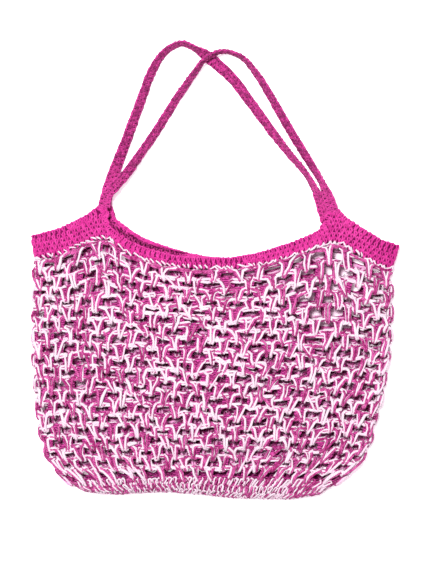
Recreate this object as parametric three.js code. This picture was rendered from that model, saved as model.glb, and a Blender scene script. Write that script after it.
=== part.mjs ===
// Crocheted net tote bag, empty and lying on its back, with its two handles spread above the mouth.
// Millimetres, +Z up. X runs across the bag, Y from the base towards the handles, and Z up from the surface that it
// lies on. The origin is the middle of the footprint, on that surface.
import * as THREE from "three";

// Driving dimensions
const FABRIC = 4; // thickness of the crocheted wall
const CLEARANCE = 0.3; // gap left where two pieces are joined
const NET_COLUMNS = 18; // gaps in one round of the net, at twice the pitch of the crochet
const NET_ROUNDS = 11; // rounds of gaps between the base and the rim band
const HANDLE_WIDTH = 13.5;
const HANDLE_THICKNESS = 4.5;
const HANDLE_STEPS = 54; // sections along one handle
const BASE_NOSE = 6; // height of the fold along the base's middle
const FOOTPRINT_MIDDLE = -0.75; // along Y in the tables below, moved to the origin
const SAME_PLACE = 1.2; // a row of the mouth's edge this near to a column of the net is moved onto it
const NO_RADIUS = 1e-6; // stands for nothing where a length is divided by

// A gap of the net, in shares of half its column and half its round
const GAP = { cornerAcross: 0.52, cornerUp: 0.36, crownUp: 0.54 };
// Share of the way from fold to fold that the first half column takes, so that it turns round the fold
const FOLD_SHARE = 0.035;

// The net's rounds, from the base (level 0) to the rim band (level 1): where the middle of the fabric folds at the
// left and the right side, and how far the front lies above the back.
const ROUNDS = [
  { level: 0.0, left: -156, right: 128, depth: 16.0 },
  { level: 0.05, left: -172, right: 143, depth: 17.5 },
  { level: 0.13, left: -185, right: 160, depth: 19.0 },
  { level: 0.27, left: -194, right: 173, depth: 20.0 },
  { level: 0.47, left: -198, right: 185, depth: 20.0 },
  { level: 0.71, left: -199, right: 193, depth: 19.0 },
  { level: 1.0, left: -197.5, right: 194, depth: 17.5 },
];
const RIM = { left: -199, right: 199, depth: 16.5 };
const SPINE = { left: -140, right: 107 };

// Edges across the flattened bag, from the left fold to the right one
const SPINE_EDGE = [
  { across: -140, up: -244 },
  { across: -112, up: -247 },
  { across: -60, up: -244 },
  { across: -16, up: -246 },
  { across: 27, up: -250 },
  { across: 80, up: -251.5 },
  { across: 107, up: -247 },
];
const NET_BOTTOM_EDGE = [
  { across: -156, up: -237 },
  { across: -120, up: -233 },
  { across: -20, up: -231 },
  { across: 90, up: -233 },
  { across: 128, up: -236 },
];
const NET_TOP_EDGE = {
  front: [
    { across: -197.5, up: 13 },
    { across: -168, up: 19 },
    { across: -124, up: 37 },
    { across: -92, up: 17.5 },
    { across: -46, up: 3.5 },
    { across: 10, up: -1 },
    { across: 55, up: 7 },
    { across: 104, up: 23.5 },
    { across: 130, up: 32.5 },
    { across: 155, up: 15 },
    { across: 181, up: 0 },
    { across: 194, up: -4 },
  ],
  back: [
    { across: -197.5, up: 13 },
    { across: -168, up: 20 },
    { across: -122, up: 41 },
    { across: -90, up: 27 },
    { across: -46, up: 10 },
    { across: 10, up: -1.5 },
    { across: 55, up: 5 },
    { across: 96, up: 22 },
    { across: 116, up: 30 },
    { across: 150, up: 18 },
    { across: 181, up: 1 },
    { across: 194, up: -4 },
  ],
};
// The mouth's edge, with a level neck under each end of a handle
const RIM_EDGE = {
  front: [
    { across: -199, up: 36 },
    { across: -167, up: 44 },
    { across: -148, up: 52.5 },
    { across: -137, up: 61.5 },
    { across: -130, up: 70.5 },
    { across: -116.5, up: 70.5 },
    { across: -115.5, up: 56 },
    { across: -108, up: 43 },
    { across: -91.5, up: 32 },
    { across: -69, up: 24 },
    { across: -42, up: 15.5 },
    { across: -12.5, up: 12.5 },
    { across: 17, up: 11 },
    { across: 46, up: 16 },
    { across: 82, up: 27 },
    { across: 106, up: 37.5 },
    { across: 118, up: 47.5 },
    { across: 123.5, up: 64 },
    { across: 137, up: 64 },
    { across: 142.5, up: 57.5 },
    { across: 153, up: 50.5 },
    { across: 168, up: 41 },
    { across: 184.5, up: 31.5 },
    { across: 199, up: 26 },
  ],
  back: [
    { across: -199, up: 36 },
    { across: -167, up: 44 },
    { across: -149, up: 52 },
    { across: -136, up: 61 },
    { across: -128.5, up: 70.5 },
    { across: -115, up: 70.5 },
    { across: -110.5, up: 55 },
    { across: -91.5, up: 41 },
    { across: -61.5, up: 28.5 },
    { across: -32, up: 18.5 },
    { across: -3, up: 12.5 },
    { across: 17, up: 10.5 },
    { across: 46, up: 14.5 },
    { across: 82, up: 26 },
    { across: 106, up: 39.5 },
    { across: 114, up: 60 },
    { across: 127.5, up: 60 },
    { across: 133, up: 55 },
    { across: 141, up: 51.5 },
    { across: 153, up: 46.5 },
    { across: 168, up: 38.5 },
    { across: 184.5, up: 30.5 },
    { across: 199, up: 26 },
  ],
};

// Soft rises and hollows of the front wall: middle, reach along X and Y, and height
const SWELLS = [
  { x: 62, y: -207, reachX: 70, reachY: 8, height: -3.5 },
  { x: 110, y: -40, reachX: 40, reachY: 60, height: 2.0 },
  { x: -90, y: -130, reachX: 60, reachY: 45, height: -1.8 },
  { x: 20, y: -120, reachX: 50, reachY: 40, height: 1.6 },
];

// The handles' middle lines from the left neck to the right one. lift is the height above where the strap would rest
// on the surface, and turn is how far it leans up onto its inner edge, in degrees.
const FRONT_HANDLE = [
  { x: -123.25, y: 70.8, lift: 16.4, turn: 0 },
  { x: -121.0, y: 78, lift: 16.0, turn: 4 },
  { x: -110.5, y: 90, lift: 13.0, turn: 22 },
  { x: -101, y: 101, lift: 9.0, turn: 38 },
  { x: -86, y: 126, lift: 2.8, turn: 50 },
  { x: -62, y: 157, lift: 0, turn: 58 },
  { x: -44, y: 186, lift: 0.6, turn: 64 },
  { x: -26, y: 214, lift: 4.6, turn: 70 },
  { x: -14, y: 229.5, lift: 9.4, turn: 76 },
  { x: 0.5, y: 236.8, lift: 9.4, turn: 82 },
  { x: 15, y: 238.2, lift: 5.0, turn: 84 },
  { x: 31.5, y: 231.5, lift: 1.4, turn: 80 },
  { x: 46.5, y: 214, lift: 0, turn: 72 },
  { x: 62, y: 189.5, lift: 0, turn: 64 },
  { x: 80, y: 157, lift: 0, turn: 54 },
  { x: 98.5, y: 126, lift: 2.4, turn: 52 },
  { x: 116.5, y: 97, lift: 9.0, turn: 46 },
  { x: 127.3, y: 77, lift: 15.6, turn: 12 },
  { x: 130.25, y: 64.3, lift: 16.4, turn: 0 },
];
const BACK_HANDLE = [
  { x: -121.75, y: 70.8, lift: 0, turn: 0 },
  { x: -120, y: 82, lift: 0, turn: 0 },
  { x: -111.5, y: 107, lift: 0, turn: 14 },
  { x: -97, y: 141, lift: 0, turn: 34 },
  { x: -80.5, y: 189, lift: 0, turn: 46 },
  { x: -68.5, y: 221, lift: 0, turn: 52 },
  { x: -54, y: 240.5, lift: 0, turn: 66 },
  { x: -37, y: 248.5, lift: 0, turn: 76 },
  { x: -20.5, y: 242, lift: 0, turn: 58 },
  { x: -5, y: 231.5, lift: 0, turn: 18 },
  { x: 19, y: 209.5, lift: 0, turn: 30 },
  { x: 40.5, y: 184, lift: 0, turn: 40 },
  { x: 64.5, y: 154, lift: 0, turn: 48 },
  { x: 85.5, y: 125.5, lift: 0, turn: 64 },
  { x: 99, y: 104.5, lift: 0, turn: 70 },
  { x: 106.5, y: 89.5, lift: 0, turn: 66 },
  { x: 113.5, y: 75, lift: 0, turn: 36 },
  { x: 120.75, y: 60.3, lift: 0, turn: 0 },
];

// Yarns
const TWO_TONE_YARN = { color: 0xd98ab8, roughness: 0.9, metalness: 0 };
const MAGENTA_YARN = { color: 0xc2247f, roughness: 0.88, metalness: 0 };

// Value of one column of a table at a place, along a smooth curve that stays between its rows
function smoothColumn(table, place, column, at) {
  const last = table.length - 1;
  if (at <= table[0][place]) return table[0][column];
  if (at >= table[last][place]) return table[last][column];
  const i = table.findIndex((row) => row[place] > at) - 1;
  const slope = (k) => (table[k + 1][column] - table[k][column]) / (table[k + 1][place] - table[k][place]);
  const tangent = (k) => {
    if (k === 0) return slope(0);
    if (k === last) return slope(last - 1);
    const before = slope(k - 1);
    const after = slope(k);
    return before * after <= 0 ? 0 : (2 * before * after) / (before + after);
  };
  const span = table[i + 1][place] - table[i][place];
  const t = (at - table[i][place]) / span;
  const rise = t * t * (3 - 2 * t);
  return (
    table[i][column] * (1 - rise) +
    table[i + 1][column] * rise +
    span * (tangent(i) * t * (1 - t) * (1 - t) - tangent(i + 1) * t * t * (1 - t))
  );
}

function straightColumn(table, place, column, at) {
  const i = Math.max(1, table.findIndex((row) => row[place] >= at));
  const [a, b] = [table[i - 1], table[i]];
  return THREE.MathUtils.mapLinear(at, a[place], b[place], a[column], b[column]);
}

// One round of the flattened bag: its two folds and the radius of the turn there
function netRound(level) {
  return {
    left: smoothColumn(ROUNDS, "level", "left", level),
    right: smoothColumn(ROUNDS, "level", "right", level),
    radius: smoothColumn(ROUNDS, "level", "depth", level) / 2,
  };
}

function acrossOf(round, share) {
  return round.left + share * (round.right - round.left);
}

// Share of the way from the left fold to the right one, as seen from above, after a share of the cloth's own length
function shareAcross(round, clothShare) {
  const { left, right, radius } = round;
  const turn = (Math.PI / 2) * radius;
  const flat = right - left - 2 * radius;
  const run = clothShare * (flat + 2 * turn);
  if (run < turn) return (radius * (1 - Math.cos(run / radius))) / (right - left);
  if (run > turn + flat) {
    return 1 - (radius * (1 - Math.cos((2 * turn + flat - run) / radius))) / (right - left);
  }
  return (radius + run - turn) / (right - left);
}

function swellAt(x, y) {
  return SWELLS.reduce((sum, s) => {
    const [dx, dy] = [(x - s.x) / s.reachX, (y - s.y) / s.reachY];
    return sum + s.height * Math.exp(-dx * dx - dy * dy);
  }, 0);
}

// A point of the wall: side is 1 on the front and -1 on the back, and out is measured from the middle of the fabric
function wallPoint(round, share, side, y, out) {
  const { left, right, radius } = round;
  const x = acrossOf(round, share);
  const intoLeft = Math.max(left + radius - x, 0);
  const intoRight = Math.max(x - right + radius, 0);
  const into = Math.max(intoLeft, intoRight);
  const rise = Math.sqrt(Math.max(radius * radius - into * into, 0)) / radius;
  const sideways = (intoRight - intoLeft) / radius;
  const swell = side > 0 ? rise * rise * swellAt(x, y) : 0;
  return new THREE.Vector3(
    x + sideways * out,
    y,
    FABRIC / 2 + radius + side * rise * (radius + out) + swell,
  );
}

// Half columns run once round the bag, 0 at the left fold and NET_COLUMNS at the right fold
function halfColumn(k) {
  const around = ((k % (2 * NET_COLUMNS)) + 2 * NET_COLUMNS) % (2 * NET_COLUMNS);
  const side = around <= NET_COLUMNS ? 1 : -1;
  const steps = side > 0 ? around : 2 * NET_COLUMNS - around;
  const fromFold = Math.min(steps, NET_COLUMNS - steps);
  const share =
    fromFold < 1
      ? fromFold * FOLD_SHARE
      : FOLD_SHARE + ((fromFold - 1) * (0.5 - FOLD_SHARE)) / (NET_COLUMNS / 2 - 1);
  return { side, clothShare: steps <= NET_COLUMNS / 2 ? share : 1 - share };
}

function netBottom(share) {
  return smoothColumn(NET_BOTTOM_EDGE, "across", "up", acrossOf(netRound(0), share));
}

function netTop(share, side) {
  const edge = side > 0 ? NET_TOP_EDGE.front : NET_TOP_EDGE.back;
  return smoothColumn(edge, "across", "up", acrossOf(netRound(1), share));
}

function netPoint(k, level, out) {
  const { side, clothShare } = halfColumn(k);
  const round = netRound(level);
  const share = shareAcross(round, clothShare);
  const y = THREE.MathUtils.lerp(netBottom(share), netTop(share, side), level);
  return wallPoint(round, share, side, y, out);
}

// Collects shared corners and faces
class Skin {
  points = [];
  faces = [];

  add(point) {
    this.points.push(point.x, point.y, point.z);
    return this.points.length / 3 - 1;
  }

  quad(a, b, c, d) {
    this.faces.push(a, b, c, a, c, d);
  }

  geometry() {
    const made = new THREE.BufferGeometry();
    made.setAttribute("position", new THREE.Float32BufferAttribute(this.points, 3));
    made.setIndex(this.faces);
    made.computeVertexNormals();
    return made;
  }
}

// The net is a tube of bricks laid in offset rounds, each with a gap in its middle
function netGeometry() {
  const skin = new Skin();
  const around = 2 * NET_COLUMNS;
  const pair = (k, level) => [FABRIC / 2, -FABRIC / 2].map((out) => skin.add(netPoint(k, level, out)));
  const corners = [];
  for (let row = 0; row <= NET_ROUNDS; row++) {
    corners.push(Array.from({ length: around }, (_, k) => pair(k, row / NET_ROUNDS)));
  }
  const corner = (k, row) => corners[row][k % around];

  for (let row = 0; row < NET_ROUNDS; row++) {
    for (let brick = 0; brick < NET_COLUMNS; brick++) {
      const first = 2 * brick + (row % 2);
      const rim = [
        [0, 0],
        [1, 0],
        [2, 0],
        [2, 1],
        [1, 1],
        [0, 1],
      ].map(([k, up]) => corner(first + k, row + up));
      const gap = [
        [-GAP.cornerAcross, -GAP.cornerUp],
        [0, -GAP.crownUp],
        [GAP.cornerAcross, -GAP.cornerUp],
        [GAP.cornerAcross, GAP.cornerUp],
        [0, GAP.crownUp],
        [-GAP.cornerAcross, GAP.cornerUp],
      ].map(([across, up]) => pair(first + 1 + across, (row + 0.5 + up / 2) / NET_ROUNDS));
      rim.forEach((a, i) => {
        const j = (i + 1) % rim.length;
        skin.quad(a[0], rim[j][0], gap[j][0], gap[i][0]);
        skin.quad(a[1], gap[i][1], gap[j][1], rim[j][1]);
        skin.quad(gap[i][0], gap[j][0], gap[j][1], gap[i][1]);
      });
    }
  }
  for (let k = 0; k < around; k++) {
    const [low, lowNext] = [corner(k, 0), corner(k + 1, 0)];
    const [high, highNext] = [corner(k, NET_ROUNDS), corner(k + 1, NET_ROUNDS)];
    skin.quad(low[0], low[1], lowNext[1], lowNext[0]);
    skin.quad(high[0], highNext[0], highNext[1], high[1]);
  }
  return skin.geometry();
}

// The base is an oval worked from its middle outwards, here folded along that middle: a trough that closes the net
const BASE_TURNS = [0, 28, 52, 72, 90]; // degrees round the fold, from the net's edge to the middle

function basePoint(k, turn, out) {
  const { side, clothShare } = halfColumn(k);
  const edge = netRound(0);
  const angle = THREE.MathUtils.degToRad(turn);
  const [towardsSpine, open] = [Math.sin(angle), Math.cos(angle)];
  const round = {
    left: THREE.MathUtils.lerp(edge.left, SPINE.left, towardsSpine),
    right: THREE.MathUtils.lerp(edge.right, SPINE.right, towardsSpine),
    radius: Math.max(edge.radius * open, NO_RADIUS),
  };
  const share = shareAcross(round, clothShare);
  const top = netBottom(share) - CLEARANCE;
  const spine = smoothColumn(SPINE_EDGE, "across", "up", acrossOf(SPINE, share)) - out;
  const wall = wallPoint(round, share, side, THREE.MathUtils.lerp(top, spine, towardsSpine), 0);
  const sideways = share < 0.5 ? -1 : 1;
  const rise = (wall.z - FABRIC / 2 - round.radius) / round.radius;
  const middle = (edge.radius + FABRIC / 2) * open + BASE_NOSE * towardsSpine * towardsSpine;
  return new THREE.Vector3(
    wall.x + sideways * out * Math.sqrt(Math.max(1 - rise * rise, 0)),
    wall.y,
    middle + rise * (edge.radius + out) * open,
  );
}

function baseGeometry() {
  const skin = new Skin();
  const around = 2 * NET_COLUMNS;
  const closing = BASE_TURNS.length - 1;
  const sheet = (out) => {
    const rings = BASE_TURNS.map((turn, i) =>
      Array.from({ length: around }, (_, k) =>
        i === closing && k > NET_COLUMNS ? -1 : skin.add(basePoint(k, turn, out)),
      ),
    );
    rings[closing] = rings[closing].map((made, k, ring) => (made < 0 ? ring[around - k] : made));
    return rings;
  };
  const [outer, inner] = [sheet(FABRIC / 2), sheet(-FABRIC / 2)];
  const face = (a, b, c, d) => {
    const ring = [a, b, c, d].filter((p, i, all) => all.indexOf(p) === i);
    if (ring.length === 4) skin.quad(...ring);
    else if (ring.length === 3) skin.faces.push(...ring);
  };
  for (let k = 0; k < around; k++) {
    const next = (k + 1) % around;
    for (let i = 0; i < closing; i++) {
      face(outer[i][k], outer[i + 1][k], outer[i + 1][next], outer[i][next]);
      face(inner[i][k], inner[i][next], inner[i + 1][next], inner[i + 1][k]);
    }
    face(outer[0][k], outer[0][next], inner[0][next], inner[0][k]);
  }
  return skin.geometry();
}

// The band follows the net's own straight-sided edge below and the mouth's edge above
function bandSections(side) {
  const columns = Array.from({ length: NET_COLUMNS + 1 }, (_, k) => {
    const share = shareAcross(netRound(1), halfColumn(k).clothShare);
    return { share, up: netTop(share, side) };
  });
  const beside = SAME_PLACE / (RIM.right - RIM.left);
  const edge = (side > 0 ? RIM_EDGE.front : RIM_EDGE.back).map(({ across, up }) => {
    const share = (across - RIM.left) / (RIM.right - RIM.left);
    const column = columns.find((c) => Math.abs(c.share - share) < beside);
    return { share: column ? column.share : share, up };
  });
  const shares = new Set([...columns, ...edge].map((row) => row.share));
  return [...shares]
    .sort((a, b) => a - b)
    .map((share) => ({
      share,
      side,
      bottom: straightColumn(columns, "share", "up", share) + CLEARANCE,
      top: straightColumn(edge, "share", "up", share),
    }));
}

function bandGeometry() {
  const skin = new Skin();
  const [front, back] = [bandSections(1), bandSections(-1)];
  const loop = [...front, ...back.slice(1, -1).reverse()];
  const rimRound = { left: RIM.left, right: RIM.right, radius: RIM.depth / 2 };
  const sections = loop.map(({ share, side, bottom, top }) =>
    [FABRIC / 2, -FABRIC / 2].map((out) => ({
      low: skin.add(wallPoint(netRound(1), share, side, bottom, out)),
      high: skin.add(wallPoint(rimRound, share, side, top, out)),
    })),
  );
  sections.forEach(([outer, inner], i) => {
    const [nextOuter, nextInner] = sections[(i + 1) % sections.length];
    skin.quad(outer.low, nextOuter.low, nextOuter.high, outer.high);
    skin.quad(inner.low, inner.high, nextInner.high, nextInner.low);
    skin.quad(outer.high, nextOuter.high, nextInner.high, inner.high);
    skin.quad(outer.low, inner.low, nextInner.low, nextOuter.low);
  });
  return skin.geometry();
}

// A handle is a flat strap with eased edges, swept along its middle line as it leans
function handleGeometry(route) {
  const skin = new Skin();
  const line = new THREE.CatmullRomCurve3(route.map((row) => new THREE.Vector3(row.x, row.y, row.lift)));
  const leaning = new THREE.CatmullRomCurve3(route.map((row) => new THREE.Vector3(row.turn, 0, 0)));
  const [half, thick] = [HANDLE_WIDTH / 2, HANDLE_THICKNESS / 2];
  const eased = HANDLE_THICKNESS / 4;
  const section = [
    [half, -thick + eased],
    [half, thick - eased],
    [half - eased, thick],
    [-half + eased, thick],
    [-half, thick - eased],
    [-half, -thick + eased],
    [-half + eased, -thick],
    [half - eased, -thick],
  ];
  const rings = [];
  for (let step = 0; step <= HANDLE_STEPS; step++) {
    const t = step / HANDLE_STEPS;
    const middle = line.getPoint(t);
    const way = line.getTangent(t).setZ(0).normalize();
    if (step === 0) way.set(0, 1, 0);
    if (step === HANDLE_STEPS) way.set(0, -1, 0);
    const inwards = new THREE.Vector3(way.y, -way.x, 0);
    const turn = THREE.MathUtils.degToRad(leaning.getPoint(t).x);
    const across = inwards.clone().multiplyScalar(-Math.cos(turn)).setZ(Math.sin(turn));
    const face = inwards.clone().multiplyScalar(Math.sin(turn)).setZ(Math.cos(turn));
    const ring = section.map(([a, b]) => across.clone().multiplyScalar(a).addScaledVector(face, b));
    const rest = -Math.min(...ring.map((p) => p.z));
    middle.z = Math.max(middle.z, 0) + rest;
    rings.push(ring.map((p) => skin.add(p.add(middle))));
  }
  for (let step = 0; step < HANDLE_STEPS; step++) {
    section.forEach((_, i) => {
      const j = (i + 1) % section.length;
      skin.quad(rings[step][i], rings[step][j], rings[step + 1][j], rings[step + 1][i]);
    });
  }
  const [start, end] = [rings[0], rings[HANDLE_STEPS]];
  for (let i = 1; i < section.length - 1; i++) {
    skin.faces.push(start[0], start[i + 1], start[i], end[0], end[i], end[i + 1]);
  }
  return skin.geometry();
}

function piece(name, geometry, yarn) {
  const mesh = new THREE.Mesh(geometry, new THREE.MeshStandardMaterial({ ...yarn, name: `${name}_yarn` }));
  mesh.name = name;
  return mesh;
}

const bag = new THREE.Group();
bag.add(
  piece("base", baseGeometry(), TWO_TONE_YARN),
  piece("net_body", netGeometry(), TWO_TONE_YARN),
  piece("rim_band", bandGeometry(), MAGENTA_YARN),
  piece("front_handle", handleGeometry(FRONT_HANDLE), MAGENTA_YARN),
  piece("back_handle", handleGeometry(BACK_HANDLE), MAGENTA_YARN),
);
bag.position.y = -FOOTPRINT_MIDDLE;

export default bag;
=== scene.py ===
# %% [markdown]
# # A crocheted net tote bag
# The bag lies empty on its back, seen straight from above. It is crocheted in a magenta yarn, with a
# pale one held along with it in the net and the base, so nearly all that the eye reads is yarn. The
# lesson builds the cloth's surfaces as plain functions, lays stitches on them as long lines of points,
# and turns each line into yarn with one Geometry Nodes tree.

# %% Load the frame
import math

import bpy
import numpy as np
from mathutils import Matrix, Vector


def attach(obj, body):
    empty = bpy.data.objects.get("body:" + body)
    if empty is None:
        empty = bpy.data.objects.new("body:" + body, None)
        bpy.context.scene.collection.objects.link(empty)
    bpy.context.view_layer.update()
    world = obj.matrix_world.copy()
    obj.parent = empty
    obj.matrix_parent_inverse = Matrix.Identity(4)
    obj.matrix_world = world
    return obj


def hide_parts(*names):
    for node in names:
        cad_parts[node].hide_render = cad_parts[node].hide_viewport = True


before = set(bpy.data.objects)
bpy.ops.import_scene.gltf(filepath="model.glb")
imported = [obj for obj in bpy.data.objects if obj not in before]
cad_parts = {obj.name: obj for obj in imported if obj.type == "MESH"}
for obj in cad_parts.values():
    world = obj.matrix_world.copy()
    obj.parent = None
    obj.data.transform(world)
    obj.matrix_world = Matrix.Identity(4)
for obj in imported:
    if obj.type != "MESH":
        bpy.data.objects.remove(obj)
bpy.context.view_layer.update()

MM = 0.001

# %% [markdown]
# ## The camera
# The picture is taken square on from above, with no visible perspective. A long lens, a good way up,
# gives that. One pixel of the picture is taken as 1.1 mm on the bag, the size of a stitch of the band
# against its five pixels.

# %% Camera
PICTURE = (429, 582)  # pixels
PIXEL = 1.1  # mm on the bag
MIDDLE_PIXEL = (215.0, 267.82)  # the origin of the frame, in the picture
LENS, SENSOR = 90.0, 36.0  # mm
FRONT_HEIGHT = 20.0  # the bag's front lies about this high above the floor, mm


def put_in_scene(name, data):
    """A new object at the origin that holds this data."""
    piece = bpy.data.objects.new(name, data)
    bpy.context.scene.collection.objects.link(piece)
    return piece


def look_down():
    target = Vector((
        (PICTURE[0] / 2 - MIDDLE_PIXEL[0]) * PIXEL * MM,
        (MIDDLE_PIXEL[1] - PICTURE[1] / 2) * PIXEL * MM,
        FRONT_HEIGHT * MM,
    ))
    distance = PICTURE[1] * PIXEL * MM * LENS / SENSOR
    camera = put_in_scene("camera", bpy.data.cameras.new("camera"))
    camera.data.lens = LENS
    camera.data.sensor_width = SENSOR
    camera.location = target + Vector((0, 0, distance))
    camera.rotation_euler = (0, 0, 0)
    bpy.context.scene.camera = camera
    return distance


print("camera height in m", round(look_down(), 3))

# %% [markdown]
# ## The cloth's surfaces
# The bag is a tube of net on an oval base, with a band round its mouth. Each is a surface with two
# coordinates: how far round the bag, and how far up. Tables give where the cloth folds at the left and
# right and how its edges run, and a smooth curve runs through each table. Yarn can then be laid in
# stitches, rows and millimetres and still follow the bag as it lies. All tables are in millimetres.

# %% Tables of the bag as it lies
SHIFT = 0.75  # the tables' middle, moved to the frame's origin
# level from base to band, left fold, right fold, depth from back to front
ROUNDS = (
    (0.0, -159, 134, 14.1),
    (0.05, -175, 150, 15.6),
    (0.13, -186.5, 164, 17.1),
    (0.27, -194, 174.5, 18.1),
    (0.47, -198, 185, 18.1),
    (0.71, -199, 193, 17.1),
    (1.0, -197.5, 194, 15.6),
)
RIM = (-202.3, 202.5, 14.6)  # left fold, right fold, depth
SPINE = (-142.0, 111.0)  # ends of the base's middle, along which it is folded
SPINE_EDGE = (
    (-142, -246), (-112, -249), (-60, -246.5), (-16, -249.5), (27, -253.5), (80, -254.5), (111, -250),
)
NET_BOTTOM = ((-159, -237), (-120, -233), (-20, -231), (90, -233), (134, -236))
NET_TOP_FRONT = (
    (-197.5, 8), (-168, 14), (-124, 30.5), (-92, 12.5), (-46, 0), (10, -2.5),
    (55, 2.5), (104, 18), (130, 26), (155, 14.5), (181, 0), (194, -4),
)
NET_TOP_BACK = (
    (-197.5, 8), (-168, 15), (-122, 35), (-90, 22), (-46, 6), (10, -3),
    (55, 1), (96, 17), (116, 24), (150, 17), (181, 1), (194, -4),
)
RIM_FRONT = (
    (-202.3, 35), (-181, 40.6), (-170.5, 43.8), (-157, 50.4), (-144, 57), (-137, 61.5), (-131, 66),
    (-127.5, 70.5), (-119.5, 70.5), (-118.5, 56), (-115.5, 46), (-109, 39.5), (-95, 30), (-78, 22.4),
    (-61, 17.4), (-45, 13.4), (-28, 11.8), (-8, 11.3), (17, 11), (46, 16), (82, 27), (106, 36.8),
    (118.5, 44.5), (123.8, 64), (137, 64), (142.5, 57), (153, 49.6), (168, 40), (184.5, 30.6), (202.5, 24.6),
)
RIM_BACK = (
    (-202.3, 35), (-167, 42.8), (-149, 51), (-136, 60), (-127, 69), (-114, 69), (-109.5, 54), (-91.5, 40.2),
    (-78, 32.4), (-61.5, 26), (-45, 20.5), (-28, 16.2), (-8, 12.4), (17, 10.5), (46, 14.5), (82, 26),
    (102, 32.5), (110, 36.2), (119.5, 42), (121, 60), (128.5, 60), (133, 55), (141, 51.5), (153, 46.5),
    (168, 38), (184.5, 29.8), (202.5, 24.6),
)
# soft rises and hollows of the front: x, y, reach along x, reach along y, height
SWELLS = (
    (50, -207, 80, 7.0, -10.0), (110, -40, 40, 60, 2.0), (-90, -130, 60, 45, -1.8), (20, -120, 50, 40, 1.6),
    (204, 0, 22, 60, -6.0),
)


def smooth(table, column, at):
    """Value of a column of a table at each place, on a curve that stays between its rows."""
    rows = np.array(table, float)
    place, value = rows[:, 0], rows[:, column]
    slope = np.diff(value) / np.diff(place)
    before, after = slope[:-1], slope[1:]
    same_way = before * after > 0
    mean = 2 * before * after / np.where(same_way, before + after, 1)
    tangent = np.concatenate([slope[:1], np.where(same_way, mean, 0), slope[-1:]])
    at = np.clip(at, place[0], place[-1])
    i = np.clip(np.searchsorted(place, at, side="right") - 1, 0, len(place) - 2)
    span = place[i + 1] - place[i]
    t = (at - place[i]) / span
    rise = t * t * (3 - 2 * t)
    bend = tangent[i] * t * (1 - t) ** 2 - tangent[i + 1] * t * t * (1 - t)
    return value[i] * (1 - rise) + value[i + 1] * rise + span * bend


print("net at half height folds at", smooth(ROUNDS, 1, 0.5).round(1), smooth(ROUNDS, 2, 0.5).round(1))

# %% [markdown]
# ## From round and height to a point
# A round of the flattened bag is two flat runs and two turns, like a stadium. Going round by the length
# of the cloth keeps the stitches one width through the turns, where the view from above would crowd
# them.

# %% Wall of the bag
CLOTH = 7.8  # thickness of a layer of yarn: the back's middle lies at half of it above the floor


def share_across(left, right, radius, cloth_share):
    """Share of the way from fold to fold, seen from above, after a share of the cloth's own length."""
    width = right - left
    turn = math.pi / 2 * radius
    flat = width - 2 * radius
    run = cloth_share * (flat + 2 * turn)
    first = radius * (1 - np.cos(np.clip(run / radius, 0, math.pi / 2)))
    last = radius * (1 - np.cos(np.clip((2 * turn + flat - run) / radius, 0, math.pi / 2)))
    middle = radius + run - turn
    return np.where(run < turn, first, np.where(run > turn + flat, width - last, middle)) / width


def mound(u, v, middle_u, middle_v, reach_u, reach_v):
    """1 at its middle, fading softly to nothing past its reach either way."""
    return np.exp(-(((u - middle_u) / reach_u) ** 2) - ((v - middle_v) / reach_v) ** 2)


def wall(left, right, radius, share, side, y, out):
    """A point of the wall, out mm from the cloth's middle. side is 1 on the front and -1 on the back."""
    x = left + share * (right - left)
    into_left = np.maximum(left + radius - x, 0)
    into_right = np.maximum(x - right + radius, 0)
    into = np.maximum(into_left, into_right)
    rise = np.sqrt(np.maximum(radius**2 - into**2, 0)) / radius
    sideways = (into_right - into_left) / radius
    swell = sum(high * mound(x, y, *place) for *place, high in SWELLS)
    lift = np.where(side > 0, rise**2 * swell, 0)
    z = CLOTH / 2 + radius + side * rise * (radius + out) + lift
    return np.stack(np.broadcast_arrays(x + sideways * out, y + SHIFT, z), axis=-1)


def side_and_share(around):
    """around runs from 0 at the left fold over the front to 0.5 at the right, and over the back to 1."""
    around = np.mod(around, 1.0)
    return np.where(around <= 0.5, 1, -1), np.where(around <= 0.5, 2 * around, 2 - 2 * around)


TOP_SPREAD = 0.16  # the net's columns are this much wider than the mean at the middle of the mouth
STRAIGHT = (14.7, -0.1)  # if its rounds were straight, the net's top at x = 0, and its rise along x
PULLED_FROM, PULLED_BEND = 0.62, 1.25  # level above which the band pulls on the rounds, and how suddenly


def net_bottom(share):
    """Where the net's lower edge lies along y, at a share of the way from fold to fold."""
    left, right = NET_BOTTOM[0][0], NET_BOTTOM[-1][0]
    return smooth(NET_BOTTOM, 1, left + share * (right - left))


def net_top(share, side):
    """Where the net's upper edge lies along x and y, at a share of the way from fold to fold."""
    _, left, right, _ = ROUNDS[-1]
    x = left + share * (right - left)
    return x, np.where(side > 0, smooth(NET_TOP_FRONT, 1, x), smooth(NET_TOP_BACK, 1, x))


def net_surface(around, level, out):
    side, cloth = side_and_share(around)
    cloth = cloth - TOP_SPREAD * np.clip(level, 0, 1) * np.sin(2 * math.pi * cloth) / (2 * math.pi)
    left, right, depth = (smooth(ROUNDS, column, level) for column in (1, 2, 3))
    share = share_across(left, right, depth / 2, cloth)
    bottom = net_bottom(share)
    at_top, top = net_top(share, side)
    straight = STRAIGHT[0] + STRAIGHT[1] * at_top
    pulled = np.clip((level - PULLED_FROM) / (1 - PULLED_FROM), 0, None) ** PULLED_BEND
    y = bottom + level * (straight - bottom) + (top - straight) * pulled
    return wall(left, right, depth / 2, share, side, y, out)


print("middle of the front in mm", net_surface(np.array(0.25), np.array(0.5), 0.0).round(1))

# %% [markdown]
# ## Yarn
# Yarn is a round strand that goes on and on, so a line of points is enough to describe it. A Geometry
# Nodes tree turns such lines into tubes: Mesh to Curve, then Curve to Mesh with a small circle. It also
# stores how far along the strand and where round it each point lies, because the finish twists the
# strand's plies with them.

# %% Yarn tree


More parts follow.
